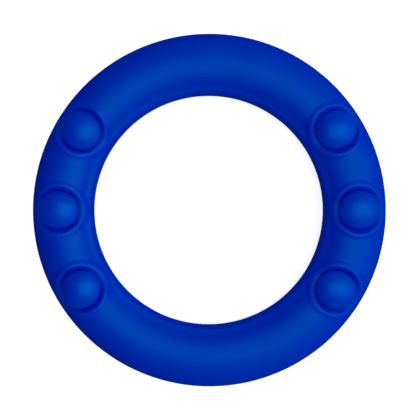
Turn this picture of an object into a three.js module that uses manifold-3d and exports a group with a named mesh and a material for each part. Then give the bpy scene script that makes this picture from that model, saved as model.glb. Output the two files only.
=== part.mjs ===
// A squeeze ring for one hand: two bonded half shells of silicone round a foam core, with six domes that
// press in, three on each side. Each dome rides on a thin web over a shallow vented seat.
// Millimetres. The ring lies flat on z = 0 with its domes up, and its axis is +Z.

import * as THREE from "three";
import { mergeVertices } from "three/addons/utils/BufferGeometryUtils.js";
import Module from "manifold-3d";

const wasm = await Module();
wasm.setup();

// ---- Driving dimensions: the ring ----

const RING_RADIUS = 36.5; // from the axis to the middle of the tube
const TUBE_RADIUS = 7.5; // outside of the round tube
const SHELL_WALL = 2.2; // silicone between the outside and the foam
const LAND_WIDTH = 4.0; // flat band at the rear that the ring lies on

// The hole's wall is straight, with a soft shoulder at each end.
const BORE_PROUD = 0.1; // the straight wall stands this far inside the round of the tube
const BORE_HALF_HEIGHT = 2.6; // half of the straight wall
const SHOULDER_RADIUS = 1.5;
const SHOULDER_SLOPE = THREE.MathUtils.degToRad(35); // slope of the surface where the shoulder starts
const VALLEY_SLOPE = THREE.MathUtils.degToRad(48); // slope where the round of the tube ends

// The half shells meet at the middle plane, with a tongue in a groove and a fine chamfer outside.
const BOND_LINE = 0.1;
const SEAM_CHAMFER = 0.2;
const TONGUE_WIDTH = 0.6;
const TONGUE_HEIGHT = 0.8;
const TONGUE_INSET = 1.35; // from the outside of the tube to the middle of the tongue
const TONGUE_GAP = 0.15; // round the tongue, on each side

// ---- Driving dimensions: the dome stations ----

const STATION_STEP = THREE.MathUtils.degToRad(32); // round the ring, between neighbouring domes
const STATION_ROWS = { upper: 1, middle: 0, lower: -1 }; // in steps from the middle of a side

const SEAT_SIDE_WALL = 1.0; // silicone left outside the seat's bore, at the middle plane
const SEAT_GAP = 0.3; // round the seat and the web's flange, in their bore
const FLANGE_GRIP = 0.7; // how far the web's flange reaches under the well's wall
const MOAT_WIDTH = 0.7; // between the dome and the lip
const MOAT_DEPTH = 0.5; // beside the dome, the moat's floor lies this far below the crown of the tube
const MOAT_EDGE_DEPTH = 0.15; // and this far below it at the lip
const DOME_GAP = 0.12; // round the dome, in the ledge that it slides through
const LEDGE_GAP = 0.2; // between the top of the web and the ledge over it
const STACK_GAP = 0.05; // between faces that rest on each other

const SEAT_SINK = 0.7; // how far the seat stands in the rear shell, below the middle plane
const SEAT_FLOOR = 0.95;
const SEAT_DEPTH = 1.2; // inside the seat
const SEAT_RIM = 0.8;
const VENT_RADIUS = 0.75;

const FLANGE_THICKNESS = 0.75;
const WEB_THICKNESS = 0.5;
const WEB_RING_HEIGHT = 0.65; // the web's inner ring, under the dome's skirt

const PRESS_TRAVEL = 3.0;
const DOME_WALL = 1.2;
const DOME_SINK = 0.4; // the dome's rim lies this far below the crest of the tube
const DOME_BULGE = 1.0; // the radius of the dome's crown is larger by this than the dome's own

const LIP_WIDTH = 1.2; // raised bead round the mouth of each well
const LIP_HEIGHT = 0.5;
const LIP_ROOT = 0.6; // how deep the bead reaches into the shell
const COLLAR_WALL = 1.2; // round the well, inside the hollow of the shell

// ---- Driving dimensions: the core ----

const CORE_GAP = 0.3; // between the foam and what it touches

// ---- Facets ----

const RING_SEGMENTS = 48;
const STATION_SEGMENTS = 20;
const FACET_ERROR = 0.1; // the most that a facet of a section's arc stands inside the true arc
const BEAD_FACETS = 3; // over the rounded top of a lip
const VALLEY_FACETS = 3;
const MERGE_DISTANCE = 1e-4;

// ---- Sizes that follow ----

const MIDDLE_HEIGHT = Math.sqrt(TUBE_RADIUS ** 2 - (LAND_WIDTH / 2) ** 2);
const CAVITY_RADIUS = TUBE_RADIUS - SHELL_WALL;

const SEAT_BORE_RADIUS = TUBE_RADIUS - SEAT_SIDE_WALL;
const SEAT_RADIUS = SEAT_BORE_RADIUS - SEAT_GAP;
const WELL_RADIUS = SEAT_RADIUS - FLANGE_GRIP;
const DOME_RADIUS = WELL_RADIUS - MOAT_WIDTH;
const CROWN_RADIUS = DOME_RADIUS + DOME_BULGE;

// Heights are measured from the middle plane of the ring.
const SEAT_BOTTOM = -SEAT_SINK;
const SEAT_FLOOR_TOP = SEAT_BOTTOM + SEAT_FLOOR;
const SEAT_TOP = SEAT_FLOOR_TOP + SEAT_DEPTH;
const FLANGE_BOTTOM = SEAT_TOP + STACK_GAP;
const FLANGE_TOP = FLANGE_BOTTOM + FLANGE_THICKNESS;
const COLLAR_BOTTOM = FLANGE_TOP + STACK_GAP;
const WEB_RING_BOTTOM = SEAT_FLOOR_TOP + PRESS_TRAVEL + STACK_GAP;
const WEB_RING_TOP = WEB_RING_BOTTOM + WEB_RING_HEIGHT;
const SKIRT_BOTTOM = WEB_RING_TOP + STACK_GAP;
const LEDGE_BOTTOM = WEB_RING_TOP + LEDGE_GAP;
const DOME_RIM = TUBE_RADIUS - DOME_SINK;
const CROWN_CENTRE = DOME_RIM - Math.sqrt(CROWN_RADIUS ** 2 - DOME_RADIUS ** 2);
const DOME_TOP = CROWN_CENTRE + CROWN_RADIUS;

// ---- Materials ----

const finish = (name, color, roughness) =>
  new THREE.MeshStandardMaterial({ name, color, roughness, metalness: 0 });
const shellSilicone = () => finish("shell_silicone", 0x0031b4, 0.55);
const domeSilicone = () => finish("dome_silicone", 0x0036bb, 0.5);
const webSilicone = () => finish("web_silicone", 0x0028a0, 0.6);
const seatPlastic = () => finish("seat_plastic", 0x1d2c66, 0.45);
const coreFoam = () => finish("core_foam", 0xd9d4c3, 0.95);

// ---- Solids ----

// A closed geometry as a solid that can be joined and cut.
function solidOf(geometry) {
  const bare = geometry.clone();
  bare.deleteAttribute("normal");
  bare.deleteAttribute("uv");
  const merged = mergeVertices(bare, MERGE_DISTANCE);
  return new wasm.Manifold(
    new wasm.Mesh({
      numProp: 3,
      vertProperties: merged.attributes.position.array,
      triVerts: new Uint32Array(merged.index.array),
    }),
  );
}

// The geometry of a solid.
function geometryOf(solid) {
  const { vertProperties, triVerts } = solid.getMesh();
  const geometry = new THREE.BufferGeometry();
  geometry.setAttribute("position", new THREE.BufferAttribute(vertProperties, 3));
  geometry.setIndex(new THREE.BufferAttribute(triVerts, 1));
  geometry.computeVertexNormals();
  return geometry;
}

const joined = (solids) => solids.reduce((whole, next) => whole.add(next));

// A closed outline of (radius, height) points, turned round the Z axis.
function turned(outline, segments) {
  const points = THREE.ShapeUtils.isClockWise(outline) ? [...outline].reverse() : [...outline];
  points.push(points[0].clone());
  return new THREE.LatheGeometry(points, segments).rotateX(Math.PI / 2);
}

// A plain cylinder between two heights.
function cylinder(radius, bottom, top) {
  const height = top - bottom;
  return new THREE.CylinderGeometry(radius, radius, height, STATION_SEGMENTS)
    .rotateX(Math.PI / 2)
    .translate(0, 0, bottom + height / 2);
}

const point = (x, y) => new THREE.Vector2(x, y);

// Points along an arc, both ends included. The angle is 0 at +x and grows towards +y.
function arc(centreX, centreY, radius, from, to) {
  const step = 2 * Math.acos(1 - FACET_ERROR / radius);
  const steps = Math.ceil(Math.abs(to - from) / step);
  return Array.from({ length: steps + 1 }, (_, i) => {
    const angle = from + ((to - from) * i) / steps;
    return point(centreX + radius * Math.cos(angle), centreY + radius * Math.sin(angle));
  });
}

// ---- The tube's section: x is 0 at the middle of the tube, positive away from the ring's axis ----

const BORE_X = -TUBE_RADIUS - BORE_PROUD;

// The outside of the upper half, from the outer seam over the crest to the inner seam.
function upperOutline() {
  const seamAngle = Math.asin(SEAM_CHAMFER / TUBE_RADIUS);
  const round = arc(0, 0, TUBE_RADIUS, seamAngle, Math.PI / 2 + VALLEY_SLOPE);
  const shoulderX = BORE_X + SHOULDER_RADIUS;
  const shoulderStart = Math.PI / 2 + SHOULDER_SLOPE;
  const shoulder = arc(shoulderX, BORE_HALF_HEIGHT, SHOULDER_RADIUS, shoulderStart, Math.PI);
  const valley = valleyBetween(round.at(-1), shoulder[0]);
  return [...round, ...valley, ...shoulder, point(BORE_X, SEAM_CHAMFER)];
}

// The middle points of the soft valley that joins the round of the tube to the shoulder.
function valleyBetween(start, end) {
  const run = start.x - end.x;
  const drop = start.y - end.y;
  const startSlope = Math.tan(VALLEY_SLOPE);
  const endSlope = Math.tan(SHOULDER_SLOPE);
  const reach = (drop - endSlope * run) / (startSlope - endSlope);
  const bend = point(start.x - reach, start.y - reach * startSlope);
  return new THREE.QuadraticBezierCurve(start, bend, end).getPoints(VALLEY_FACETS).slice(1, -1);
}

// Height of the upper outside at a place across the tube.
function surfaceHeight(x) {
  const outline = upperOutline();
  const after = outline.findIndex((p) => p.x <= x);
  const a = outline[after - 1];
  const b = outline[after];
  return THREE.MathUtils.mapLinear(x, a.x, b.x, a.y, b.y);
}

const mirrored = (points) => points.map((p) => point(p.x, -p.y));
const outwards = (points) => points.map((p) => point(p.x + RING_RADIUS, p.y));

// Across one wall at the seam, the tongue or the groove as a step of a given width and height.
function seamStep(side, base, width, height) {
  const middle = side * (TUBE_RADIUS - TONGUE_INSET);
  const near = middle - (side * width) / 2;
  const far = middle + (side * width) / 2;
  return [point(far, base), point(far, height), point(near, height), point(near, base)];
}

// The section of the front half shell, with the groove in both walls.
function frontSection() {
  const seam = BOND_LINE / 2;
  const width = TONGUE_WIDTH + 2 * TONGUE_GAP;
  const depth = TONGUE_HEIGHT + 2 * TONGUE_GAP;
  const seamAngle = Math.asin(seam / CAVITY_RADIUS);
  return outwards([
    point(TUBE_RADIUS - SEAM_CHAMFER, seam),
    ...upperOutline(),
    point(BORE_X + SEAM_CHAMFER, seam),
    ...seamStep(-1, seam, width, depth),
    ...arc(0, 0, CAVITY_RADIUS, Math.PI - seamAngle, seamAngle),
    ...seamStep(1, seam, width, depth).reverse(),
  ]);
}

// The section of the rear half shell, with the tongue on both walls and the flat land below.
function rearSection() {
  const seam = -BOND_LINE / 2;
  const seamAngle = Math.asin(BOND_LINE / 2 / CAVITY_RADIUS);
  const lower = mirrored(upperOutline()).filter((p) => p.y > -MIDDLE_HEIGHT);
  const landStart = lower.findIndex((p) => p.x < 0);
  const land = [point(LAND_WIDTH / 2, -MIDDLE_HEIGHT), point(-LAND_WIDTH / 2, -MIDDLE_HEIGHT)];
  return outwards([
    point(TUBE_RADIUS - SEAM_CHAMFER, seam),
    ...lower.slice(0, landStart),
    ...land,
    ...lower.slice(landStart),
    point(BORE_X + SEAM_CHAMFER, seam),
    ...seamStep(-1, seam, TONGUE_WIDTH, TONGUE_HEIGHT),
    ...arc(0, 0, CAVITY_RADIUS, Math.PI + seamAngle, 2 * Math.PI - seamAngle),
    ...seamStep(1, seam, TONGUE_WIDTH, TONGUE_HEIGHT).reverse(),
  ]);
}

// ---- Stations: where the domes stand ----

function stations() {
  return [
    ["left", Math.PI, -1],
    ["right", 0, 1],
  ].flatMap(([side, middle, turn]) =>
    Object.entries(STATION_ROWS).map(([row, steps]) => {
      const azimuth = middle + turn * steps * STATION_STEP;
      return {
        name: `${side}_${row}`,
        place: new THREE.Vector3(RING_RADIUS * Math.cos(azimuth), RING_RADIUS * Math.sin(azimuth), 0),
      };
    }),
  );
}

// The same solid at every station.
const atStations = (geometry) =>
  joined(stations().map(({ place }) => solidOf(geometry.clone().translate(...place))));

// A closed outline turned round a station's axis and lifted so that it follows the crown of the tube.
function turnedOverCrown(outline, { place }) {
  const geometry = turned(outline, STATION_SEGMENTS).translate(...place);
  const position = geometry.attributes.position;
  for (let i = 0; i < position.count; i++) {
    const x = Math.hypot(position.getX(i), position.getY(i)) - RING_RADIUS;
    position.setZ(i, position.getZ(i) + surfaceHeight(x));
  }
  return solidOf(geometry);
}

// The raised bead round a well's mouth.
function lip(station) {
  const halfWidth = LIP_WIDTH / 2;
  const bead = Array.from({ length: BEAD_FACETS + 1 }, (_, i) => {
    const angle = (Math.PI * i) / BEAD_FACETS;
    return point(
      WELL_RADIUS + halfWidth + halfWidth * Math.cos(angle),
      LIP_HEIGHT * Math.sin(angle),
    );
  });
  const root = [point(WELL_RADIUS, -LIP_ROOT), point(WELL_RADIUS + LIP_WIDTH, -LIP_ROOT)];
  return turnedOverCrown([...bead, ...root], station);
}

// The space of the moat between the dome and the lip, with a floor that slopes down to the dome.
function moat(station) {
  return turnedOverCrown(
    [
      point(DOME_RADIUS, -MOAT_DEPTH),
      point(WELL_RADIUS, -MOAT_EDGE_DEPTH),
      point(WELL_RADIUS, DOME_TOP),
      point(DOME_RADIUS, DOME_TOP),
    ],
    station,
  );
}

// ---- Pieces ----

function frontShell() {
  const outside = outwards([
    point(TUBE_RADIUS, COLLAR_BOTTOM),
    ...upperOutline().filter((p) => p.y > COLLAR_BOTTOM),
    point(BORE_X, COLLAR_BOTTOM),
  ]);
  const crown = solidOf(turned(outside, RING_SEGMENTS));
  const collarRadius = WELL_RADIUS + COLLAR_WALL;
  const collars = atStations(cylinder(collarRadius, COLLAR_BOTTOM, TUBE_RADIUS)).intersect(crown);
  const lips = joined(stations().map(lip));
  const shell = solidOf(turned(frontSection(), RING_SEGMENTS));
  const seatBores = atStations(cylinder(SEAT_BORE_RADIUS, SEAT_BOTTOM, COLLAR_BOTTOM));
  const wells = atStations(cylinder(WELL_RADIUS, FLANGE_BOTTOM, LEDGE_BOTTOM));
  const domeHoles = atStations(cylinder(DOME_RADIUS + DOME_GAP, FLANGE_BOTTOM, DOME_TOP));
  const moats = joined(stations().map(moat));
  const hollows = joined([seatBores, wells, domeHoles, moats]);
  return geometryOf(joined([shell, collars, lips]).subtract(hollows));
}

function rearShell() {
  const shell = solidOf(turned(rearSection(), RING_SEGMENTS));
  const seatBores = atStations(cylinder(SEAT_BORE_RADIUS, SEAT_BOTTOM - STACK_GAP, TUBE_RADIUS));
  return geometryOf(shell.subtract(seatBores));
}

function foamCore() {
  const section = outwards(arc(0, 0, CAVITY_RADIUS - CORE_GAP, 0, 2 * Math.PI).slice(1));
  const pocketRadius = Math.max(WELL_RADIUS + COLLAR_WALL, SEAT_RADIUS) + CORE_GAP;
  const pockets = atStations(cylinder(pocketRadius, SEAT_BOTTOM - CORE_GAP, TUBE_RADIUS));
  return geometryOf(solidOf(turned(section, RING_SEGMENTS)).subtract(pockets));
}

// A hollow round cap on a straight skirt, open below.
function domeCap() {
  const inside = DOME_RADIUS - DOME_WALL;
  const insideCrown = CROWN_RADIUS - DOME_WALL;
  const outline = [
    ...arc(0, CROWN_CENTRE, insideCrown, Math.PI / 2, Math.acos(inside / insideCrown)),
    point(inside, SKIRT_BOTTOM),
    point(DOME_RADIUS, SKIRT_BOTTOM),
    ...arc(0, CROWN_CENTRE, CROWN_RADIUS, Math.acos(DOME_RADIUS / CROWN_RADIUS), Math.PI / 2),
  ];
  return new THREE.LatheGeometry(outline, STATION_SEGMENTS).rotateX(Math.PI / 2);
}

// The flexible web: a ring under the dome's skirt, a thin steep cone and a clamped flange.
function domeWeb() {
  const foot = WELL_RADIUS - WEB_THICKNESS / 2;
  return turned(
    [
      point(DOME_RADIUS - DOME_WALL, WEB_RING_BOTTOM),
      point(DOME_RADIUS - WEB_THICKNESS, WEB_RING_BOTTOM),
      point(foot - WEB_THICKNESS, FLANGE_BOTTOM),
      point(SEAT_RADIUS, FLANGE_BOTTOM),
      point(SEAT_RADIUS, FLANGE_TOP),
      point(foot, FLANGE_TOP),
      point(DOME_RADIUS, WEB_RING_TOP),
      point(DOME_RADIUS - DOME_WALL, WEB_RING_TOP),
    ],
    STATION_SEGMENTS,
  );
}

// The shallow cup that clamps the web and stops the dome, with a vent through its floor.
function domeSeat() {
  const inside = SEAT_RADIUS - SEAT_RIM;
  return turned(
    [
      point(VENT_RADIUS, SEAT_BOTTOM),
      point(SEAT_RADIUS, SEAT_BOTTOM),
      point(SEAT_RADIUS, SEAT_TOP),
      point(inside, SEAT_TOP),
      point(inside, SEAT_FLOOR_TOP),
      point(VENT_RADIUS, SEAT_FLOOR_TOP),
    ],
    STATION_SEGMENTS,
  );
}

// ---- The assembly ----

function piece(name, geometry, material) {
  const mesh = new THREE.Mesh(geometry, material);
  mesh.name = name;
  return mesh;
}

function assembly() {
  const ring = new THREE.Group();
  ring.position.z = MIDDLE_HEIGHT;
  ring.add(piece("front_shell", frontShell(), shellSilicone()));
  ring.add(piece("rear_shell", rearShell(), shellSilicone()));
  ring.add(piece("foam_core", foamCore(), coreFoam()));
  for (const { name, place } of stations()) {
    const station = new THREE.Group();
    station.position.copy(place);
    station.add(piece(`dome_cap_${name}`, domeCap(), domeSilicone()));
    station.add(piece(`dome_web_${name}`, domeWeb(), webSilicone()));
    station.add(piece(`dome_seat_${name}`, domeSeat(), seatPlastic()));
    ring.add(station);
  }
  return ring;
}

// The ring stands in an outer group, because the exported group's own frame is the part's frame.
const squeezeRing = new THREE.Group();
squeezeRing.add(assembly());

export default squeezeRing;
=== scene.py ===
"""Looks of a squeeze ring with press-in domes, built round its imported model.

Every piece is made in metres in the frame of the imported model: the ring lies on z = 0 with its
domes up, and its axis is +Z. Heights called "level" are counted from the ring's middle plane.
"""

import logging
import math
from dataclasses import dataclass, field
from enum import Enum
from typing import Any, Callable, Iterable, Optional, Sequence, Union

import bmesh
import bpy
import numpy as np
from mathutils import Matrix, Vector
from mathutils.geometry import delaunay_2d_cdt


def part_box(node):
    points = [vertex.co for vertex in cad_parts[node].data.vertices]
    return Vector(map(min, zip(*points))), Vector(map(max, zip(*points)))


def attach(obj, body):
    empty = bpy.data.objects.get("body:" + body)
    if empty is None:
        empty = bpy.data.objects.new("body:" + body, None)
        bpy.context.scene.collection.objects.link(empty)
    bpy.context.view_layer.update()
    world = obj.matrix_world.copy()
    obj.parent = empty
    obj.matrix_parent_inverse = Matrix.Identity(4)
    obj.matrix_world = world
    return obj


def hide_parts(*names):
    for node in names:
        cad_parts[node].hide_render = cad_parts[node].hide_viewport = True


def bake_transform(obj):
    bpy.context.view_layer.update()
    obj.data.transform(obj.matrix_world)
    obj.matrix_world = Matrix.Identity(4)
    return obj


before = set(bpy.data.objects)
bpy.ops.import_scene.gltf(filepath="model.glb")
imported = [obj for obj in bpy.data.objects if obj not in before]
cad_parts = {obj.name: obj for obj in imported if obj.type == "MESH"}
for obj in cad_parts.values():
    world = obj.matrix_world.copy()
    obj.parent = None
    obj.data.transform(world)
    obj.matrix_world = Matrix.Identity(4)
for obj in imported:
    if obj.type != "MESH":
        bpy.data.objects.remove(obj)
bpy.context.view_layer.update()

MM = 0.001
SAME_POINT = 1e-9
MERGE_DISTANCE = 1e-7
LOG = logging.getLogger("squeeze_ring")

Number = Union[int, float]
Colour = tuple[float, float, float]
Points = np.ndarray
Faces = list[tuple[int, ...]]
Piece = bpy.types.Object
Material = bpy.types.Material
Socket = bpy.types.NodeSocket


class Side(Enum):
    """The two sides of the ring that carry domes."""

    LEFT = "left"
    RIGHT = "right"


class Row(Enum):
    """Where a dome stands on its side."""

    UPPER = "upper"
    MIDDLE = "middle"
    LOWER = "lower"


class Join(Enum):
    """How a solid is combined with another."""

    CUT = "DIFFERENCE"
    ADD = "UNION"


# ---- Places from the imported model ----


@dataclass(frozen=True)
class Extent:
    """The box of one CAD node at rest."""

    low: Vector
    high: Vector

    @classmethod
    def of(cls, node: str) -> "Extent":
        """Reads the box of the CAD node called node."""
        return cls(*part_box(node))

    @property
    def centre(self) -> Vector:
        """The middle of the box."""
        return (self.low + self.high) / 2

    @property
    def radius(self) -> float:
        """Half of the box's width along X."""
        return (self.high.x - self.low.x) / 2


# ---- Meshes ----


def arc(centre: Sequence[float], radius: float, start: float, end: float, steps: int) -> Points:
    """Points along an arc, both ends included.

    Args:
        centre: The arc's centre.
        radius: Its radius.
        start: First angle in degrees, 0 at +x and growing towards +y.
        end: Last angle in degrees.
        steps: Number of equal steps.

    Returns:
        An array of steps + 1 points in the plane.
    """
    angles = np.radians(np.linspace(start, end, steps + 1))
    return np.asarray(centre) + radius * np.column_stack([np.cos(angles), np.sin(angles)])


def line(start: Sequence[float], end: Sequence[float], steps: int = 1) -> Points:
    """Evenly spaced points from start to end, both included."""
    return np.linspace(start, end, steps + 1)


def chain(*parts: Points) -> Points:
    """Joins stretches of an outline, dropping a point that repeats the one before it."""
    points = np.vstack(parts)
    step = np.linalg.norm(np.diff(points, axis=0), axis=1)
    return points[np.concatenate([[True], step > SAME_POINT])]


def bend(start: Points, corner: Points, end: Points, steps: int) -> Points:
    """A curve that leaves its start, and reaches its end, along the lines to a corner."""
    t = np.linspace(0, 1, steps + 1)[:, None]
    return (1 - t) ** 2 * start + 2 * t * (1 - t) * corner + t**2 * end


def rounded(corners: Sequence[Sequence[float]], radii: Sequence[float], steps: int = 5) -> Points:
    """A closed outline with its corners rounded.

    Args:
        corners: The corners, in order.
        radii: How far from each corner its rounding starts; 0 keeps a corner sharp.
        steps: Steps in each rounding.

    Returns:
        The points of the outline.
    """
    corner = np.asarray(corners, float)
    before, after = np.roll(corner, 1, axis=0), np.roll(corner, -1, axis=0)
    parts = []
    for here, back, ahead, reach in zip(corner, before, after, radii):
        if reach == 0:
            parts.append(here[None])
            continue
        start = here + (back - here) / np.linalg.norm(back - here) * reach
        end = here + (ahead - here) / np.linalg.norm(ahead - here) * reach
        parts.append(bend(start, here, end, steps))
    return chain(*parts)


def mesh_object(
    name: str, vertices: Iterable[Sequence[float]], faces: Faces, edges: Sequence[tuple[int, int]] = ()
) -> Piece:
    """A mesh object in the scene, made of vertices and faces.

    Args:
        name: Name of the object and its mesh.
        vertices: Points in metres.
        faces: Corner numbers of each face, anticlockwise seen from outside.
        edges: Ends of each edge that no face has.

    Returns:
        The new object, at the origin.
    """
    mesh = bpy.data.meshes.new(name)
    mesh.from_pydata([tuple(map(float, v)) for v in vertices], edges, faces)
    mesh.validate()
    made = bpy.data.objects.new(name, mesh)
    bpy.context.scene.collection.objects.link(made)
    return made


def take_modifiers(piece: Piece) -> Piece:
    """Turns what the piece's modifiers make of it into its own plain mesh."""
    graph = bpy.context.evaluated_depsgraph_get()
    mesh = bpy.data.meshes.new_from_object(piece.evaluated_get(graph))
    mesh.name = piece.name
    piece.modifiers.clear()
    piece.data = mesh
    return piece


def combine(piece: Piece, tools: Sequence[Piece], how: Join) -> Piece:
    """Joins tools to the piece, or cuts them out of it, and removes the tools.

    Args:
        piece: The closed mesh that stays.
        tools: Closed meshes that are used up.
        how: Whether the tools are added or cut away.

    Returns:
        The piece.
    """
    for tool in tools:
        modifier = piece.modifiers.new(tool.name, "BOOLEAN")
        modifier.operation = how.value
        modifier.solver = "MANIFOLD"
        modifier.object = tool
    take_modifiers(piece)
    for tool in tools:
        bpy.data.objects.remove(tool)
    return piece


def finish_surface(piece: Piece, sharp_angle: float = 40.0) -> Piece:
    """Shades the piece smooth, but for edges sharper than an angle in degrees."""
    mesh = piece.data
    mesh.polygons.foreach_set("use_smooth", [True] * len(mesh.polygons))
    mesh.set_sharp_from_angle(angle=math.radians(sharp_angle))
    mesh.update()
    return piece


def mark(piece: Piece, name: str, value: Callable[[Points], Points]) -> None:
    """Writes a number on each vertex, worked out from where it is.

    Args:
        piece: The mesh object to mark.
        name: Name of the attribute that a finish reads.
        value: Takes all the vertices' places and returns one number for each.
    """
    mesh = piece.data
    places = np.empty(len(mesh.vertices) * 3)
    mesh.vertices.foreach_get("co", places)
    numbers = value(places.reshape(-1, 3)).astype(np.float32)
    mesh.attributes.new(name, "FLOAT", "POINT").data.foreach_set("value", numbers)


def smooth_rise(value: Points) -> Points:
    """A soft step from 0 to 1 as value goes from 0 to 1."""
    t = np.clip(value, 0, 1)
    return t * t * (3 - 2 * t)


# ---- Node trees ----


class Nodes:
    """A node tree, with one method that adds any node."""

    def __init__(self, tree: bpy.types.NodeTree) -> None:
        """Wraps a tree."""
        self.tree = tree

    def node(
        self,
        kind: str,
        settings: Optional[dict[str, Any]] = None,
        sockets: Optional[dict[Union[str, int], Any]] = None,
        **named: Any,
    ) -> bpy.types.Node:
        """Adds a node.

        Args:
            kind: Its type.
            settings: Properties of the node, set first.
            sockets: Value or link of each input, by its name or number.
            named: More of them, by name with _ for a space.

        Returns:
            The node.
        """
        made = self.tree.nodes.new(kind)
        for key, value in (settings or {}).items():
            setattr(made, key, value)
        spaced = {key.replace("_", " "): value for key, value in named.items()}
        for key, value in {**(sockets or {}), **spaced}.items():
            if isinstance(value, Signal):
                value = value.socket
            if isinstance(value, Socket):
                self.tree.links.new(value, made.inputs[key])
            else:
                made.inputs[key].default_value = value
        return made


class GeometryTree(Nodes):
    """A geometry node tree with named inputs that ends in Realize Instances and Set Material."""

    def __init__(self, name: str, inputs: dict[str, str]) -> None:
        """Starts a tree.

        Args:
            name: Name of the tree.
            inputs: Type of each named input, besides the piece, its place and its finish.
        """
        super().__init__(bpy.data.node_groups.new(name, "GeometryNodeTree"))
        face = self.tree.interface
        kinds = {"Piece": "Geometry", **inputs, "Place": "Vector", "Finish": "Material"}
        self.identifiers = {
            title: face.new_socket(title, in_out="INPUT", socket_type=f"NodeSocket{kind}").identifier
            for title, kind in kinds.items()
        }
        face.new_socket("Piece", in_out="OUTPUT", socket_type="NodeSocketGeometry")
        self.inputs = self.node("NodeGroupInput").outputs

    def end(self, geometry: Socket) -> None:
        """Closes the tree with real geometry in its place and in one finish."""
        placed = self.node("GeometryNodeTransform", Geometry=geometry, Translation=self.inputs["Place"])
        real = self.node("GeometryNodeRealizeInstances", Geometry=placed.outputs[0])
        finish = self.inputs["Finish"]
        dressed = self.node("GeometryNodeSetMaterial", Geometry=real.outputs[0], Material=finish)
        self.node("NodeGroupOutput", sockets={0: dressed.outputs[0]})

    def run(self, piece: Piece, **values: Any) -> Piece:
        """Runs the tree on a piece and keeps the result as the piece's plain mesh.

        Args:
            piece: The object whose mesh goes in.
            values: Value of each input, by its name.

        Returns:
            The piece.
        """
        modifier = piece.modifiers.new(self.tree.name, "NODES")
        modifier.node_group = self.tree
        for title, value in values.items():
            modifier[self.identifiers[title]] = value
        return take_modifiers(piece)


class Lathe(GeometryTree):
    """Turns an outline round a vertical axis."""

    PATH_RADIUS = 1 * MM
    MERGE = 1e-6

    def __init__(self) -> None:
        """Builds the tree: a circle is swept with the outline, and its poles are merged."""
        super().__init__("turned_piece", {"Radius": "Float", "Steps": "Int"})
        outline = self.node("GeometryNodeMeshToCurve", Mesh=self.inputs["Piece"])
        size = {"Resolution": self.inputs["Steps"], "Radius": self.inputs["Radius"]}
        circle = self.node("GeometryNodeCurvePrimitiveCircle", sockets=size)
        path = self.node("GeometryNodeSetCurveNormal", {"mode": "Z_UP"}, Curve=circle.outputs["Curve"])
        swept = self.node("GeometryNodeCurveToMesh", Curve=path.outputs[0], Profile_Curve=outline.outputs[0])
        merged = self.node("GeometryNodeMergeByDistance", Geometry=swept.outputs[0], Distance=self.MERGE)
        self.end(merged.outputs[0])

    def turn(
        self,
        name: str,
        outline: Points,
        place: Sequence[float],
        finish: Optional[Material] = None,
        steps: int = 96,
        ring_radius: float = 0.0,
        closed: bool = True,
    ) -> Piece:
        """Turns an outline into a piece.

        Args:
            name: Name of the piece.
            outline: Points (distance, height), anticlockwise. An open one starts and ends on the axis.
            place: Where the outline's origin turns round.
            finish: Material of the piece.
            steps: Steps round the axis.
            ring_radius: Distance from the axis to the outline's origin.
            closed: Whether the outline closes on itself.

        Returns:
            The piece, a closed mesh with its faces outwards.
        """
        path_radius = ring_radius or self.PATH_RADIUS
        across = outline[:, 0] + ring_radius - path_radius
        count = len(outline)
        edges = [(i, i + 1) for i in range(count - 1)] + ([(count - 1, 0)] if closed else [])
        piece = mesh_object(name, [(x, -z, 0) for x, z in zip(across, outline[:, 1])], [], edges)
        values = {"Radius": path_radius, "Steps": steps, "Place": tuple(place)}
        if finish is not None:
            values["Finish"] = finish
        return self.turn_outwards(self.run(piece, **values))

    @staticmethod
    def turn_outwards(piece: Piece) -> Piece:
        """Flips a closed mesh whose faces point inwards."""
        mesh = piece.data
        mesh.calc_loop_triangles()
        corners = np.array([[mesh.vertices[i].co for i in t.vertices] for t in mesh.loop_triangles])
        volume = np.einsum("ij,ij->i", corners[:, 0], np.cross(corners[:, 1], corners[:, 2])).sum()
        if volume < 0:
            mesh.flip_normals()
        return piece


class Spokes(GeometryTree):
    """Repeats a small piece round a circle."""

    def __init__(self) -> None:
        """Builds the tree: the piece is instanced at even steps, turned to face outwards."""
        super().__init__("spokes", {"Count": "Int"})
        count = self.inputs["Count"]
        point = self.node("GeometryNodePoints", Count=count)
        index = self.node("GeometryNodeInputIndex")
        step = self.node("ShaderNodeMath", {"operation": "DIVIDE"}, {0: 2 * math.pi, 1: count})
        factors = {0: index.outputs[0], 1: step.outputs[0]}
        angle = self.node("ShaderNodeMath", {"operation": "MULTIPLY"}, factors)
        copies = self.node(
            "GeometryNodeInstanceOnPoints",
            Points=point.outputs[0],
            Instance=self.inputs["Piece"],
            Rotation=self.node("ShaderNodeCombineXYZ", Z=angle.outputs[0]).outputs[0],
        )
        self.end(copies.outputs[0])


# ---- Finishes ----


class Signal:
    """A shader socket that Python sums can use."""

    def __init__(self, shader: "Shader", socket: Socket) -> None:
        """Wraps a socket of a shader."""
        self.shader = shader
        self.socket = socket

    def _sum(self, operation: str, first: Any, second: Any) -> "Signal":
        """Adds a Math node that works on two signals or numbers."""
        made = self.shader.node("ShaderNodeMath", {"operation": operation}, {0: first, 1: second})
        return Signal(self.shader, made.outputs[0])

    def __add__(self, other: Union["Signal", Number]) -> "Signal":
        """self + other."""
        return self._sum("ADD", self, other)

    __radd__ = __add__

    def __sub__(self, other: Union["Signal", Number]) -> "Signal":
        """self - other."""
        return self._sum("SUBTRACT", self, other)

    def __rsub__(self, other: Number) -> "Signal":
        """other - self."""
        return self._sum("SUBTRACT", other, self)

    def __mul__(self, other: Union["Signal", Number]) -> "Signal":
        """self * other."""
        return self._sum("MULTIPLY", self, other)

    __rmul__ = __mul__


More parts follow.
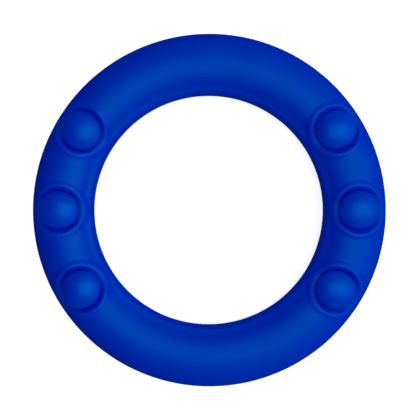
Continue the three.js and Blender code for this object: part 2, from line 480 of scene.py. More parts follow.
class Shader(Nodes):
    """A material and the nodes of its tree."""

    def __init__(self, name: str) -> None:
        """Starts an empty material."""
        self.material = bpy.data.materials.new(name)
        self.material.use_nodes = True
        super().__init__(self.material.node_tree)
        self.tree.nodes.clear()

    def place(self) -> Socket:
        """The piece's own coordinates, in metres."""
        return self.node("ShaderNodeTexCoord").outputs["Object"]

    def noise(self, grain: float, detail: float = 2.0, roughness: float = 0.5) -> Signal:
        """Noise with features of a size in metres, from 0 to 1."""
        texture = {"Scale": 1 / grain, "Detail": detail, "Roughness": roughness}
        made = self.node("ShaderNodeTexNoise", sockets=texture, Vector=self.place())
        return Signal(self, made.outputs["Fac"])

    def ramp(self, signal: Signal, stops: Sequence[tuple[float, float]]) -> Signal:
        """Reshapes a signal with a ramp of two grey stops, as (place, value) pairs."""
        made = self.node("ShaderNodeValToRGB", Fac=signal)
        for element, (place, value) in zip(made.color_ramp.elements, stops):
            element.position = place
            element.color = (value, value, value, 1)
        return Signal(self, made.outputs["Color"])

    def attribute(self, name: str) -> Signal:
        """A number written on the piece's vertices."""
        made = self.node("ShaderNodeAttribute", {"attribute_name": name})
        return Signal(self, made.outputs["Fac"])

    def mix(self, first: Any, second: Any, share: Signal) -> Socket:
        """A colour between first and second, by share."""
        colours = [end if isinstance(end, Socket) else (*end, 1) for end in (first, second)]
        sockets = {"Factor": share, 6: colours[0], 7: colours[1]}
        return self.node("ShaderNodeMix", {"data_type": "RGBA"}, sockets).outputs[2]

    def bump(self, height: Signal, depth: float, below: Optional[Any] = None) -> Socket:
        """A bump of a depth in metres, laid over another one.

        Args:
            height: The relief, from 0 to 1.
            depth: Its depth.
            below: The normal of the bump under it.

        Returns:
            The bumped normal.
        """
        under = {} if below is None else {"Normal": below}
        return self.node("ShaderNodeBump", sockets=under, Height=height, Distance=depth).outputs["Normal"]

    def surface(
        self, sockets: dict[str, Any], shine: Optional[dict[str, Any]] = None, share: float = 0.0
    ) -> Material:
        """Closes the material with a Principled surface.

        Args:
            sockets: Value or link of each of its inputs.
            shine: Value or link of each input of a coloured mirror mixed over it.
            share: The mirror's share.

        Returns:
            The material.
        """
        top = self.node("ShaderNodeBsdfPrincipled", sockets=sockets)
        if shine is not None:
            mirror = self.node("ShaderNodeBsdfGlossy", sockets=shine)
            layers = {0: share, 1: top.outputs[0], 2: mirror.outputs[0]}
            top = self.node("ShaderNodeMixShader", sockets=layers)
        self.node("ShaderNodeOutputMaterial", sockets={"Surface": top.outputs[0]})
        return self.material


@dataclass(frozen=True)
class SiliconeFinish:
    """Matt moulded silicone, polished a little where fingers rub it; its lighter rubbed colour is also a
    painted highlight on lip crests and dome tops.
    """

    name: str
    base: Colour
    deep: Colour
    rub_and_highlight_colour: Colour
    cloud_size: float = 14 * MM
    mottle_size: float = 1.6 * MM
    grain_size: float = 0.16 * MM
    grain_depth: float = 0.006 * MM
    ripple_size: float = 2.4 * MM
    ripple_depth: float = 0.012 * MM
    roughness: float = 0.46
    roughness_spread: float = 0.12
    rubbed_gloss: float = 0.1
    shine: float = 0.045
    shine_colour: Colour = (0.0, 1.0, 1.0)

    def build(self) -> Material:
        """Builds the material, which reads the piece's attribute that marks its wear and its painted
        highlights.
        """
        shader = Shader(self.name)
        cloud = shader.noise(self.cloud_size, 3)
        mottle = shader.noise(self.mottle_size, 4, 0.6)
        grain = shader.noise(self.grain_size, 2)
        ripple = shader.noise(self.ripple_size, 2)
        rub_and_highlight = shader.attribute("rub_and_highlight")
        blotch = shader.ramp(cloud * 0.65 + mottle * 0.35, [(0.3, 0.0), (0.7, 1.0)])
        body = shader.mix(self.deep, self.base, blotch)
        # Painted highlight, partly wear: where the piece's mark is set, the colour turns to the lighter
        # rubbed one.
        colour = shader.mix(body, self.rub_and_highlight_colour, rub_and_highlight * (mottle * 0.6 + 0.3))
        roughness = mottle * self.roughness_spread + (self.roughness - self.roughness_spread / 2)
        normal = shader.bump(grain, self.grain_depth, shader.bump(ripple, self.ripple_depth))
        dull = {"Base Color": colour, "Roughness": 1.0, "Specular IOR Level": 0.0, "Normal": normal}
        sheen = {
            "Color": (*self.shine_colour, 1),
            "Roughness": roughness - rub_and_highlight * self.rubbed_gloss,
            "Normal": normal,
        }
        return shader.surface(dull, sheen, self.shine)


@dataclass(frozen=True)
class MouldedPlasticFinish:
    """Hard plastic with a fine moulded grain."""

    name: str
    base: Colour
    worn: Colour
    grain_size: float = 0.3 * MM
    grain_depth: float = 0.015 * MM
    cloud_size: float = 6 * MM
    scuff_size: float = 1.1 * MM
    scuff_dulling: float = 0.18
    roughness: float = 0.42

    def build(self) -> Material:
        """Builds the material."""
        shader = Shader(self.name)
        grain = shader.noise(self.grain_size, 3)
        cloud = shader.noise(self.cloud_size, 3)
        scuff = shader.ramp(shader.noise(self.scuff_size, 5, 0.7), [(0.55, 0.0), (0.75, 1.0)])
        colour = shader.mix(self.base, self.worn, scuff * 0.5 + cloud * 0.25)
        roughness = scuff * self.scuff_dulling + self.roughness
        normal = shader.bump(grain, self.grain_depth)
        return shader.surface({"Base Color": colour, "Roughness": roughness, "Normal": normal})


@dataclass(frozen=True)
class FoamFinish:
    """Open-cell foam: small round cells between pale walls, the cells' hollows darkened as painted shade."""

    name: str
    wall: Colour
    shaded_cell: Colour
    cell_size: float = 0.7 * MM
    cell_depth: float = 0.25 * MM
    tint_size: float = 9 * MM

    def build(self) -> Material:
        """Builds the material."""
        shader = Shader(self.name)
        cells = shader.node(
            "ShaderNodeTexVoronoi",
            {"feature": "F1"},
            {"Vector": shader.place(), "Scale": 1 / self.cell_size, "Randomness": 1.0},
        )
        hollow = shader.ramp(Signal(shader, cells.outputs["Distance"]), [(0.15, 0.0), (0.6, 1.0)])
        tint = shader.noise(self.tint_size, 3)
        # Painted shade: the hollows of the cells take the darker colour.
        colour = shader.mix(self.shaded_cell, self.wall, hollow * 0.8 + tint * 0.2)
        return shader.surface(
            {"Base Color": colour, "Roughness": 0.95, "Normal": shader.bump(hollow, self.cell_depth)}
        )


@dataclass(frozen=True)
class FloorFinish:
    """A plain pale studio floor."""

    name: str = "studio_floor"
    colour: Colour = (0.93, 0.93, 0.93)
    glow: float = 0.6

    def build(self) -> Material:
        """Builds the material."""
        shader = Shader(self.name)
        return shader.surface(
            {
                "Base Color": (*self.colour, 1),
                "Roughness": 0.9,
                "Specular IOR Level": 0.1,
                "Emission Color": (1, 1, 1, 1),
                "Emission Strength": self.glow,
            }
        )


class Finishes:
    """Every finish of the object, each built once and named after its slot in the record."""

    def __init__(self) -> None:
        """Builds the materials."""
        # The last colour of each silicone is its rubbed colour, a lighter blue that is partly wear and
        # partly a painted highlight.
        self.shell = SiliconeFinish(
            "shell_silicone", (0.0, 0.002, 0.445), (0.0, 0.001, 0.425), (0.0, 0.012, 0.5)
        ).build()
        # The domes' silicone is a little lighter than the shell's: painted light, as the domes stand up into
        # it.
        self.dome = SiliconeFinish(
            "dome_silicone", (0.0, 0.002, 0.47), (0.0, 0.001, 0.45), (0.0, 0.012, 0.5), shine=0.06
        ).build()
        # The web's silicone is a little darker than the shell's: painted shade, as it lies deep under the
        # domes.
        self.web = SiliconeFinish(
            "web_silicone", (0.0, 0.002, 0.4), (0.0, 0.001, 0.37), (0.0, 0.003, 0.44)
        ).build()
        self.seat = MouldedPlasticFinish("seat_plastic", (0.012, 0.025, 0.133), (0.03, 0.05, 0.2)).build()
        self.foam = FoamFinish("core_foam", (0.72, 0.69, 0.58), (0.45, 0.42, 0.33)).build()


# ---- The ring ----


@dataclass(frozen=True)
class TubeSection:
    """The section of the tube: x is 0 at its middle and grows away from the ring's axis."""

    radius: float = 7.5 * MM
    wall: float = 2.2 * MM
    bore_proud: float = 0.1 * MM
    bore_half_height: float = 2.6 * MM
    shoulder_radius: float = 1.5 * MM
    shoulder_slope: float = 35.0
    valley_slope: float = 48.0
    seam_chamfer: float = 0.2 * MM
    half_bond: float = 0.05 * MM
    land_half_width: float = 2.0 * MM
    land_edge: float = 0.12 * MM
    tongue_inset: float = 1.35 * MM
    tongue_width: float = 0.6 * MM
    tongue_height: float = 0.8 * MM
    tongue_gap: float = 0.15 * MM

    @property
    def cavity(self) -> float:
        """Radius of the hollow for the foam."""
        return self.radius - self.wall

    @property
    def bore(self) -> float:
        """Where the straight wall of the hand hole stands."""
        return -self.radius - self.bore_proud

    def upper(self, refine: int = 1) -> Points:
        """The outside of the upper half, from the outer seam over the crest to the inner seam.

        Args:
            refine: How many steps each usual step is divided into.

        Returns:
            The outline's points.
        """
        seam_angle = math.degrees(math.asin(self.seam_chamfer / self.radius))
        turned = arc((0, 0), self.radius, seam_angle, 90 + self.valley_slope, 44 * refine)
        shoulder_centre = (self.bore + self.shoulder_radius, self.bore_half_height)
        shoulder = arc(shoulder_centre, self.shoulder_radius, 90 + self.shoulder_slope, 180, 9 * refine)
        wall = line(shoulder[-1], (self.bore, self.seam_chamfer), 3 * refine)
        outer_seam = line((self.radius - self.seam_chamfer, self.half_bond), turned[0], refine)
        inner_seam = line(wall[-1], (self.bore + self.seam_chamfer, self.half_bond), refine)
        valley = self.valley(turned[-1], shoulder[0], 6 * refine)
        return chain(outer_seam, turned, valley, shoulder, wall, inner_seam)

    def valley(self, start: Points, end: Points, steps: int) -> Points:
        """The soft hollow curve between the round of the tube and its shoulder.

        Args:
            start: Where the round ends.
            end: Where the shoulder starts.
            steps: Steps along the curve.

        Returns:
            The curve's points.
        """
        run, drop = start - end
        steep, shallow = (math.tan(math.radians(a)) for a in (self.valley_slope, self.shoulder_slope))
        reach = (drop - shallow * run) / (steep - shallow)
        return bend(start, start - np.array([reach, reach * steep]), end, steps)

    def step_across(self, side: int, base: float, width: float, height: float) -> Points:
        """The tongue, or the groove that takes it, as a step across one wall at the seam.

        Args:
            side: 1 for the outer wall and -1 for the inner.
            base: Height of the seam face.
            width: Width of the step.
            height: Height of its top.

        Returns:
            Four points, from the outside of the tube towards its hollow.
        """
        middle = side * (self.radius - self.tongue_inset)
        near, far = middle - side * width / 2, middle + side * width / 2
        return np.array([(far, base), (far, height), (near, height), (near, base)])

    def rear(self) -> Points:
        """The closed section of the rear shell, with the land below and the tongues above."""
        outside = self.upper() * (1, -1)
        floor = -math.sqrt(self.radius**2 - self.land_half_width**2)
        kept = outside[outside[:, 1] > floor + MERGE_DISTANCE]
        outer, inner = kept[kept[:, 0] > 0], kept[kept[:, 0] <= 0]
        half = self.land_half_width
        land = np.array([(x, floor) for x in (half, half - self.land_edge, self.land_edge - half, -half)])
        hollow = arc((0, 0), self.cavity, 180.5, 359.5, 32)
        tongue = (-self.half_bond, self.tongue_width, self.tongue_height)
        return chain(
            outer, land, inner, self.step_across(-1, *tongue), hollow, self.step_across(1, *tongue)[::-1]
        )


@dataclass(frozen=True)
class Station:
    """A place where a dome stands, with the sizes of the stack under it."""

    side: Side
    row: Row
    middle_height: float
    seat_bore: float = 6.5 * MM
    well: float = 5.5 * MM
    dome_gap: float = 0.04 * MM
    collar_wall: float = 1.2 * MM

    @property
    def name(self) -> str:
        """The station's name, such as left_upper."""
        return f"{self.side.value}_{self.row.value}"

    @property
    def cap_box(self) -> Extent:
        """The box of the dome's cap."""
        return Extent.of(f"dome_cap_{self.name}")

    @property
    def hole(self) -> float:
        """Radius of the hole that the dome slides through."""
        return self.cap_box.radius + self.dome_gap

    @property
    def centre(self) -> Points:
        """The axis of the station, seen from above."""
        return np.array(self.cap_box.centre.xy)

    @property
    def place(self) -> tuple[float, float, float]:
        """The point on the station's axis in the ring's middle plane."""
        return (*self.centre, self.middle_height)

    def drum(self, lathe: Lathe, radius: float, low: float, high: float) -> Piece:
        """A plain cutting drum on the station's axis, between two levels."""
        outline = np.array([(0, low), (radius, low), (radius, high), (0, high)])
        return lathe.turn("drum", outline, self.place, closed=False)


@dataclass(frozen=True)
class Lip:
    """The moat round a dome and the raised bead outside it, as heights over the plain tube."""

    hole: float
    mouth: float = 5.5 * MM
    inner_width: float = 0.6 * MM
    outer_width: float = 1.3 * MM
    height: float = 0.4 * MM
    moat_depth: float = 0.6 * MM
    hole_edge: float = 0.08 * MM

    @property
    def crest(self) -> float:
        """Distance of the bead's crest from the axis of the station."""
        return self.mouth + self.inner_width

    def bead(self, distance: Points) -> Points:
        """Height of the bead alone, 0 inside its mouth."""
        across = distance - self.crest
        inner = np.sqrt(np.clip(1 - (across / self.inner_width) ** 2, 0, 1))
        outer = 0.5 + 0.5 * np.cos(np.pi * np.clip(across / self.outer_width, 0, 1))
        return self.height * np.where(across < 0, inner, outer)

    def moat(self, distance: Points) -> Points:
        """Height of the moat's sloping floor, with the soft edge of the hole."""
        up = np.clip((distance - self.hole) / (self.mouth - self.hole), 0, 1)
        floor = self.moat_depth * (1 - up)
        over_edge = np.clip(self.hole + self.hole_edge - distance, 0, self.hole_edge)
        edge = self.hole_edge - np.sqrt(self.hole_edge**2 - over_edge**2)
        return -floor - edge

    def rise(self, distance: Points) -> Points:
        """Height of the skin over the plain tube.

        Args:
            distance: Distance from the station's axis, seen from above.

        Returns:
            The height at each distance.
        """
        return np.where(distance < self.mouth, self.moat(distance), self.bead(distance))

    def rings(self) -> Points:
        """Distances at which the skin has a ring of points, from the hole outwards."""
        quarter = np.linspace(0, np.pi / 2, 7)
        edge = self.hole + self.hole_edge * (1 - np.cos(quarter))
        floor = np.linspace(edge[-1], self.mouth, 6)[1:]
        inner = self.crest - self.inner_width * np.cos(np.linspace(0, np.pi / 2, 9))
        outer = self.crest + self.outer_width * np.linspace(0, 1.15, 13)[1:]
        return np.concatenate([edge, floor[:-1], inner, outer])


@dataclass
class FrontShell:
    """The front half of the ring: its skin with six lipped wells, and its hollow."""

    section: TubeSection
    stations: Sequence[Station]
    ring_radius: float
    middle_height: float
    steps_round: int = 264
    ring_steps: int = 120
    cutter_steps: int = 192
    refine: int = 12
    start_azimuth: float = math.pi / 2
    lip_clearance: float = 0.2 * MM

    def __post_init__(self) -> None:
        """Works out the lip, and the table that a place on the section is read from."""
        self.lip = Lip(self.stations[0].hole)
        self.table = self.section.upper(self.refine)
        steps = np.linalg.norm(np.diff(self.table, axis=0), axis=1)
        self.length = np.concatenate([[0], np.cumsum(steps)])
        self.centres = np.array([s.centre for s in self.stations])

    def across(self, x: Points) -> Points:
        """Length along the section at which it stands at x, on the crown of the tube."""
        widest = int(np.argmax(self.table[:, 0]))
        crown = slice(widest, int(np.argmin(self.table[:, 0])))
        return np.interp(-x, -self.table[crown, 0], self.length[crown])

    def distance(self, plan: Points) -> Points:
        """Distance of each point, seen from above, to the nearest station's axis."""
        return np.linalg.norm(plan[:, None] - self.centres[None], axis=2).min(axis=1)

    def surface(self, flat: Points) -> Points:
        """Places on the skin.

        Args:
            flat: For each point, the azimuth times the ring's radius, and the length along the section.

        Returns:
            The points in space, with the lips raised.
        """
        azimuth = flat[:, 0] / self.ring_radius
        outward = np.column_stack([np.cos(azimuth), np.sin(azimuth)])
        slope = np.gradient(self.table, self.length, axis=0)
        columns = (*self.table.T, slope[:, 1], -slope[:, 0])
        x, z, *across = (np.interp(flat[:, 1], self.length, column) for column in columns)
        normal = np.column_stack(across)
        distance = self.distance(outward * (self.ring_radius + x)[:, None])
        lean = smooth_rise((distance - self.lip.mouth) / (2 * self.lip.inner_width))[:, None]
        direction = normal * lean + np.array([0, 1]) * (1 - lean)
        direction /= np.linalg.norm(direction, axis=1)[:, None]
        on_top = self.lip.rise(distance) * (z > 0)
        x, z = x + direction[:, 0] * on_top, z + direction[:, 1] * on_top
        plan = outward * (self.ring_radius + x)[:, None]
        return np.column_stack([plan, z + self.middle_height])

    def flat_points(self) -> tuple[Points, list[tuple[int, int]]]:
        """Points of the unrolled skin, and the edges of the wells' mouths.

        Returns:
            The points, and pairs of point numbers that have to be edges.
        """
        rows = self.length[:: self.refine]
        angles = self.start_azimuth + np.linspace(0, 2 * math.pi, self.steps_round + 1)
        grid = np.array([(a * self.ring_radius, v) for a in angles for v in rows])
        x = np.interp(grid[:, 1], self.length, self.table[:, 0])
        azimuth = grid[:, 0] / self.ring_radius
        plan = np.column_stack([np.cos(azimuth), np.sin(azimuth)]) * (self.ring_radius + x)[:, None]
        rings = self.lip.rings()
        points = [grid[self.distance(plan) > rings[-1] + self.lip_clearance]]
        edges: list[tuple[int, int]] = []
        count = len(points[0])
        turn = np.linspace(0, 2 * math.pi, self.ring_steps, endpoint=False)
        circle = np.column_stack([np.cos(turn), np.sin(turn)])
        for centre in self.centres:
            edges += [(count + i, count + (i + 1) % self.ring_steps) for i in range(self.ring_steps)]
            for radius in rings:
                points.append(self.unrolled(centre + radius * circle))
                count += self.ring_steps
        return np.vstack(points), edges

    def unrolled(self, plan: Points) -> Points:
        """Points of the crown, seen from above, as points of the unrolled skin."""
        azimuth = np.arctan2(plan[:, 1], plan[:, 0])
        azimuth = self.start_azimuth + (azimuth - self.start_azimuth) % (2 * math.pi)
        x = np.linalg.norm(plan, axis=1) - self.ring_radius
        return np.column_stack([azimuth * self.ring_radius, self.across(x)])

    def outer_solid(self) -> Piece:
        """The shell as a solid with plain holes at the wells and a flat seam face."""
        flat, mouths = self.flat_points()
        found = delaunay_2d_cdt([Vector(p) for p in flat], mouths, [], 0, SAME_POINT)
        flat = np.array([tuple(p) for p in found[0]])
        triangles = np.array(found[2])
        plan = self.surface(flat)
        middles = plan[triangles].mean(axis=1)
        holes = self.distance(middles[:, :2]) < self.lip.hole
        skin = [tuple(t) for t in triangles[~holes]]
        return self.close(mesh_object("front_shell_moulding", plan, skin))

    def close(self, piece: Piece) -> Piece:
        """Adds the walls of the wells and the seam face under the skin.

        Args:
            piece: The open skin.

        Returns:
            The same piece, closed.
        """
        shape = bmesh.new()
        shape.from_mesh(piece.data)
        bmesh.ops.remove_doubles(shape, verts=shape.verts, dist=MERGE_DISTANCE)
        seam_height = self.middle_height + self.section.half_bond
        low = seam_height + self.section.seam_chamfer
        mouths = [e for e in shape.edges if e.is_boundary and min(v.co.z for v in e.verts) > low]
        made = bmesh.ops.extrude_edge_only(shape, edges=mouths)
        for vertex in (v for v in made["geom"] if isinstance(v, bmesh.types.BMVert)):
            vertex.co.z = seam_height
        self.fill_plane(shape, [e for e in shape.edges if e.is_boundary])
        bmesh.ops.recalc_face_normals(shape, faces=shape.faces)
        shape.to_mesh(piece.data)
        shape.free()
        return piece

    def fill_plane(self, shape: Any, rim: Sequence[Any]) -> None:
        """Fills the flat face between the shell's two seams, leaving the wells open.

        Args:
            shape: The mesh that is being edited.
            rim: Its open edges, all at the seam's height.
        """
        corners = list(dict.fromkeys(v for e in rim for v in e.verts))
        number = {v: i for i, v in enumerate(corners)}
        edges = [(number[e.verts[0]], number[e.verts[1]]) for e in rim]
        found = delaunay_2d_cdt([v.co.xy for v in corners], edges, [], 0, SAME_POINT)
        kept = [corners[origin[0]] for origin in found[3]]
        plan = np.array([tuple(p) for p in found[0]])
        for face in found[2]:
            middle = plan[list(face)].mean(axis=0)[None]
            radius = float(np.linalg.norm(middle))
            inner = self.ring_radius + self.section.bore
            if radius > inner and self.distance(middle)[0] > self.lip.hole:
                shape.faces.new([kept[i] for i in face])

    def build(self, lathe: Lathe, finish: Material) -> Piece:
        """Builds the shell.

        Args:
            lathe: Turns the cutting tools.
            finish: Its material.

        Returns:
            The finished piece.
        """
        piece = self.outer_solid()
        combine(piece, self.cutters(lathe), Join.CUT)
        piece.data.materials.clear()
        piece.data.materials.append(finish)
        # Painted highlight, partly wear: the lips' beads turn lighter towards their crests.
        mark(piece, "rub_and_highlight", lambda p: self.lip.bead(self.distance(p[:, :2])) / self.lip.height)
        return finish_surface(piece)

    def cutters(self, lathe: Lathe) -> list[Piece]:
        """Solids to cut out of the shell: its hollow round the collars, the bores and the grooves."""
        section = self.section
        place = (0, 0, self.middle_height)
        below = -1 * MM
        hollow_outline = chain(
            line((-section.cavity, below), (section.cavity, below)),
            arc((0, 0), section.cavity, 0, 180, 40),
        )
        hollow = lathe.turn("hollow", hollow_outline, place, None, self.cutter_steps, self.ring_radius)
        stack = DomeStack()
        collars = [
            s.drum(lathe, s.well + s.collar_wall, stack.collar_level, section.radius) for s in self.stations
        ]
        combine(hollow, collars, Join.CUT)
        bores = [
            s.drum(lathe, radius, below, level)
            for s in self.stations
            for radius, level in ((s.seat_bore, stack.collar_level), (s.well, stack.ledge_level))
        ]
        width = section.tongue_width + 2 * section.tongue_gap
        depth = section.tongue_height + 2 * section.tongue_gap
        for side in (1, -1):
            outline = section.step_across(side, below, width, depth)[::-side]
            bores.append(lathe.turn("groove", outline, place, None, self.cutter_steps, self.ring_radius))
        return [hollow, *bores]


@dataclass
class DomeStack:
    """Sizes of the pieces at a station, and their levels from the seat up."""

    seat_bottom: float = -0.7 * MM
    seat_floor: float = 0.95 * MM
    seat_depth: float = 1.2 * MM
    seat_rim: float = 0.8 * MM
    vent: float = 0.75 * MM
    gap: float = 0.05 * MM
    flange: float = 0.75 * MM
    web: float = 0.5 * MM
    cap_wall: float = 1.2 * MM
    travel: float = 3.0 * MM
    web_ring: float = 0.65 * MM
    ledge_gap: float = 0.2 * MM

    def __post_init__(self) -> None:
        """Adds up the levels, from the seat's floor to the ledge that the dome slides through."""
        self.floor_level = self.seat_bottom + self.seat_floor
        self.seat_level = self.floor_level + self.seat_depth
        self.flange_bottom = self.seat_level + self.gap
        self.flange_top = self.flange_bottom + self.flange
        self.collar_level = self.flange_top + self.gap
        self.ring_bottom = self.floor_level + self.travel + self.gap
        self.ring_top = self.ring_bottom + self.web_ring
        self.ledge_level = self.ring_top + self.ledge_gap


@dataclass
class DomeUnit:
    """One dome with its web and its seat."""

    station: Station
    stack: DomeStack = field(default_factory=DomeStack)
    bulge: float = 1.0 * MM
    rim_round: float = 0.8 * MM
    inner_rim_round: float = 0.3 * MM
    foot_round: float = 0.2 * MM
    # Height of the band under the dome's top that turns lighter: painted highlight, partly wear.
    rub_and_highlight_height: float = 2.2 * MM
    web_stretch: float = 0.12 * MM
    steps: int = 96
    rib_count: int = 6
    rib_height: float = 0.45 * MM
    rib_half_width: float = 0.3 * MM
    rib_root: float = 0.2 * MM
    rib_start: float = 0.35 * MM
    rib_end: float = 3.2 * MM

    def turned(
        self, part: str, outline: Points, lathe: Lathe, finish: Material, closed: bool = True
    ) -> Piece:
        """A piece turned round the station's axis.

        Args:
            part: Last word of its name.
            outline: Its outline.
            lathe: Turns it.
            finish: Its material.
            closed: Whether the outline closes on itself.

        Returns:
            The piece.
        """
        station = self.station
        name = f"dome_{station.name}_{part}"
        return lathe.turn(name, outline, station.place, finish, self.steps, closed=closed)

    def cap(self, lathe: Lathe, finish: Material) -> Piece:
        """The hollow dome that a finger presses."""
        box = self.station.cap_box
        radius = box.radius
        crown = radius + self.bulge
        centre = box.high.z - self.station.middle_height - crown
        foot = box.low.z - self.station.middle_height
        inside = radius - self.stack.cap_wall
        edge = self.foot_round
        outline = chain(
            self.crown_outline(inside, crown - self.stack.cap_wall, centre, self.inner_rim_round)[::-1],
            arc((inside + edge, foot + edge), edge, 180, 270, 5),
            arc((radius - edge, foot + edge), edge, 270, 360, 5),
            self.crown_outline(radius, crown, centre, self.rim_round),
        )
        piece = self.turned("cap", outline, lathe, finish, closed=False)
        # Painted highlight, partly wear: the dome turns lighter towards its top.
        mark(piece, "rub_and_highlight", lambda p: smooth_rise((p[:, 2] - box.high.z) / self.rub_and_highlight_height + 1))
        return finish_surface(piece)

    @staticmethod
    def crown_outline(radius: float, crown: float, centre: float, rim_round: float) -> Points:
        """The rounded rim and the crown of a dome, from the top of its straight skirt to its top.

        Args:
            radius: Radius of the skirt.
            crown: Radius of the ball that the crown is part of.
            centre: Level of the ball's centre.
            rim_round: Radius that joins the skirt to the crown.

        Returns:
            The points.
        """
        across = radius - rim_round
        level = centre + math.sqrt((crown - rim_round) ** 2 - across**2)
        meeting = math.degrees(math.atan2(level - centre, across))
        rim = arc((across, level), rim_round, 0, meeting, 10)
        return chain(rim, arc((0, centre), crown, meeting, 90, 36))

    def web(self, lathe: Lathe, finish: Material) -> Piece:
        """The flexible web between the dome and the shell."""
        stack = self.stack
        cap = self.station.cap_box.radius
        box = Extent.of(f"dome_web_{self.station.name}")
        foot = self.station.well - stack.web / 2
        corners = [
            (cap - stack.cap_wall, stack.ring_bottom),
            (cap - stack.web, stack.ring_bottom),
            (foot - stack.web, stack.flange_bottom),
            (box.radius, stack.flange_bottom),
            (box.radius, stack.flange_top),
            (foot, stack.flange_top),
            (cap, stack.ring_top),
            (cap - stack.cap_wall, stack.ring_top),
        ]
        radii = np.array([0.15, 0.3, 0.25, 0.12, 0.12, 0.3, 0.12, 0.12]) * MM
        outline = self.divided(rounded(corners, radii), self.web_stretch)
        piece = self.turned("web", outline, lathe, finish)
        mark(piece, "rub_and_highlight", lambda p: np.zeros(len(p)))
        return finish_surface(piece, 60)

    @staticmethod
    def divided(outline: Points, longest: float) -> Points:
        """A closed outline with its long stretches divided into short steps."""
        ahead = np.roll(outline, -1, axis=0)
        parts = [
            line(a, b, max(1, math.ceil(np.linalg.norm(b - a) / longest)))[:-1]
            for a, b in zip(outline, ahead)
        ]
        return np.vstack(parts)

    def seat(self, lathe: Lathe, spokes: Spokes, finish: Material) -> Piece:
        """The vented cup under the dome, with ribs on its floor."""
        stack = self.stack
        radius = Extent.of(f"dome_seat_{self.station.name}").radius
        inside = radius - stack.seat_rim
        corners = [
            (stack.vent, stack.seat_bottom),
            (radius, stack.seat_bottom),
            (radius, stack.seat_level),
            (inside, stack.seat_level),
            (inside, stack.floor_level),
            (stack.vent, stack.floor_level),
        ]
        outline = rounded(corners, np.array([0.12, 0.25, 0.15, 0.15, 0.3, 0.12]) * MM)
        piece = self.turned("seat", outline, lathe, finish)
        ribs = self.rib()
        spokes.run(ribs, Count=self.rib_count, Place=self.station.place, Finish=finish)
        combine(piece, [ribs], Join.ADD)
        return finish_surface(piece)

    def rib(self) -> Piece:
        """One rounded rib of the seat's floor, lying along +x."""
        half, floor = self.rib_half_width, self.stack.floor_level
        low, top = floor - self.rib_root, floor + self.rib_height
        soft = half * 0.8
        outline = rounded([(-half, low), (half, low), (half, top), (-half, top)], [0, 0, soft, soft], 4)
        count = len(outline)
        ends = (self.stack.vent + self.rib_start, self.rib_end)
        vertices = [(x, y, z) for x in ends for y, z in outline]
        sides = [(i, (i + 1) % count, count + (i + 1) % count, count + i) for i in range(count)]
        caps = [tuple(reversed(range(count))), tuple(range(count, 2 * count))]
        return Lathe.turn_outwards(mesh_object("rib", vertices, sides + caps))


@dataclass
class RingBody:
    """What lies under the front shell: the rear shell and the foam core."""

    section: TubeSection
    stations: Sequence[Station]
    ring_radius: float
    middle_height: float
    steps: int = 240
    core_gap: float = 0.3 * MM
    rub_and_highlight_height: float = 0.3 * MM

    @property
    def place(self) -> tuple[float, float, float]:
        """The ring's centre."""
        return (0, 0, self.middle_height)

    def rear(self, lathe: Lathe, finish: Material) -> Piece:
        """The rear shell."""
        piece = lathe.turn(
            "rear_shell_moulding", self.section.rear(), self.place, finish, self.steps, self.ring_radius
        )
        stack = DomeStack()
        low, high = stack.seat_bottom - stack.gap, self.section.radius
        combine(piece, [s.drum(lathe, s.seat_bore, low, high) for s in self.stations], Join.CUT)
        land = self.section.land_half_width
        mark(
            piece,
            "rub_and_highlight",
            lambda p: (p[:, 2] < self.rub_and_highlight_height)
            * smooth_rise(2 - np.abs(np.linalg.norm(p[:, :2], axis=1) - self.ring_radius) / land),
        )
        return finish_surface(piece, 35)

    def core(self, lathe: Lathe, finish: Material) -> Piece:
        """The foam ring, with a pocket under each dome."""
        outline = arc((0, 0), self.section.cavity - self.core_gap, 0, 360, 48)[:-1]
        piece = lathe.turn("foam_core_ring", outline, self.place, finish, self.steps, self.ring_radius)
        stack = DomeStack()
        low, high = stack.seat_bottom - self.core_gap, self.section.radius
        pockets = [
            s.drum(lathe, s.well + s.collar_wall + self.core_gap, low, high) for s in self.stations
        ]
        combine(piece, pockets, Join.CUT)
        return finish_surface(piece)


# ---- The studio ----


@dataclass(frozen=True)
class Softbox:
    """A soft square lamp that faces the object.

    A lamp for shine alone puts no light on the object but its own reflection.
    """

    name: str
    place: tuple[float, float, float]
    size: float
    strength: float
    shine_only: bool = False

    def build(self, target: Vector) -> None:
        """Hangs the lamp.

        Args:
            target: The point that it faces, which it lights with its strength.
        """
        aim = target - Vector(self.place)
        light = bpy.data.lights.new(self.name, "AREA")
        light.size = self.size
        light.energy = self.strength * math.pi**2 * aim.length_squared
        lamp = bpy.data.objects.new(self.name, light)
        lamp.location = self.place
        lamp.rotation_euler = aim.to_track_quat("-Z", "Y").to_euler()
        lamp.visible_camera = False
        lamp.visible_diffuse = not self.shine_only
        bpy.context.scene.collection.objects.link(lamp)


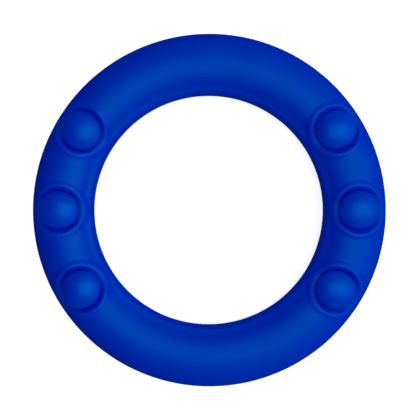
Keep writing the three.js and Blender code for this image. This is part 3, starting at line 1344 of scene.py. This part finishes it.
@dataclass
class Studio:
    """Floor, lights and camera."""

    middle_height: float
    camera_height: float = 213 * MM
    camera_turn: float = 2.2
    lens: float = 72.86
    sensor: float = 36.0
    shift: tuple[float, float] = (0.0825, 0.0002)
    floor_size: float = 6.0
    floor_drop: float = 0.05 * MM
    sky: float = 0.75
    sky_rise: Colour = (0.45, 0.0, 0.0)
    overhead: Softbox = Softbox("overhead", (0.02, 0.0, 0.12), 0.14, 0.37)
    key: Softbox = Softbox("key", (0.26, 0.0, 0.26), 0.36, 0.22, shine_only=True)

    def build(self) -> None:
        """Sets everything up round the object."""
        target = Vector((0, 0, self.middle_height))
        self.floor()
        self.surroundings()
        self.overhead.build(target)
        self.key.build(target)
        self.camera()
        bpy.context.scene.view_settings.view_transform = "Standard"

    def floor(self) -> None:
        """A wide plain floor just under the object, which doesn't light it from below."""
        half = self.floor_size / 2
        corners = [(-half, -half), (half, -half), (half, half), (-half, half)]
        plane = mesh_object("floor", [(x, y, -self.floor_drop) for x, y in corners], [(0, 1, 2, 3)])
        plane.data.materials.append(FloorFinish().build())
        plane.visible_diffuse = False
        plane.visible_glossy = False
        plane.visible_shadow = False

    def surroundings(self) -> None:
        """Soft pale light from all round, which grows towards the side of the key."""
        world = bpy.data.worlds.new("studio")
        world.use_nodes = True
        sky = Nodes(world.node_tree)
        direction = sky.node("ShaderNodeTexCoord").outputs["Generated"]
        factors = {0: direction, 1: self.sky_rise}
        rise = sky.node("ShaderNodeVectorMath", {"operation": "DOT_PRODUCT"}, factors)
        total = sky.node("ShaderNodeMath", sockets={0: rise.outputs["Value"], 1: self.sky})
        background = sky.tree.nodes["Background"]
        background.inputs["Color"].default_value = (1, 1, 1, 1)
        sky.tree.links.new(total.outputs[0], background.inputs["Strength"])
        bpy.context.scene.world = world
        world.cycles_visibility.glossy = False

    def camera(self) -> None:
        """A camera on the ring's axis that looks down at its front face."""
        lens = bpy.data.cameras.new("camera")
        lens.lens = self.lens
        lens.sensor_width = self.sensor
        lens.shift_x, lens.shift_y = self.shift
        lens.clip_start = 0.01
        eye = bpy.data.objects.new("camera", lens)
        eye.location = (0, 0, self.middle_height + self.camera_height)
        eye.rotation_euler = (0, math.radians(self.camera_turn), 0)
        bpy.context.scene.collection.objects.link(eye)
        bpy.context.scene.camera = eye


# ---- Everything together ----


def report(piece: Piece) -> None:
    """Logs a finished piece and its size."""
    piece.data.calc_loop_triangles()
    LOG.info("%s: %d triangles", piece.name, len(piece.data.loop_triangles))


def place_piece(piece: Piece, node: str, body: str) -> None:
    """Lets a piece stand for a CAD node and ride on a body.

    Args:
        piece: The piece.
        node: The CAD node that it replaces.
        body: The body that it moves with.
    """
    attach(piece, body)
    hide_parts(node)
    report(piece)


def main() -> None:
    """Builds the object and its studio, and reports each piece."""
    logging.basicConfig(level=logging.INFO, format="%(name)s: %(message)s")
    section = TubeSection()
    ring_box = Extent.of("front_shell")
    middle_height = ring_box.low.z - section.half_bond
    ring_radius = math.hypot(*Extent.of("dome_cap_right_middle").centre.xy)
    stations = [Station(side, row, middle_height) for side in Side for row in Row]
    finishes = Finishes()
    lathe = Lathe()
    spokes = Spokes()

    ring = (section, stations, ring_radius, middle_height)
    front, body = FrontShell(*ring), RingBody(*ring)
    place_piece(front.build(lathe, finishes.shell), "front_shell", "ring")
    place_piece(body.rear(lathe, finishes.shell), "rear_shell", "ring")
    place_piece(body.core(lathe, finishes.foam), "foam_core", "ring")

    for station in stations:
        unit = DomeUnit(station)
        name = station.name
        place_piece(unit.cap(lathe, finishes.dome), f"dome_cap_{name}", f"dome_{name}")
        place_piece(unit.seat(lathe, spokes, finishes.seat), f"dome_seat_{name}", "ring")
        web = unit.web(lathe, finishes.web)
        stack = unit.stack
        low, high = (middle_height + level for level in (stack.flange_top, stack.ring_bottom))
        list(station.centre)
        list(station.centre)
        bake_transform(web)
        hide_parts(f"dome_web_{name}")
        report(web)

    Studio(middle_height).build()


if __name__ == "__main__":
    main()
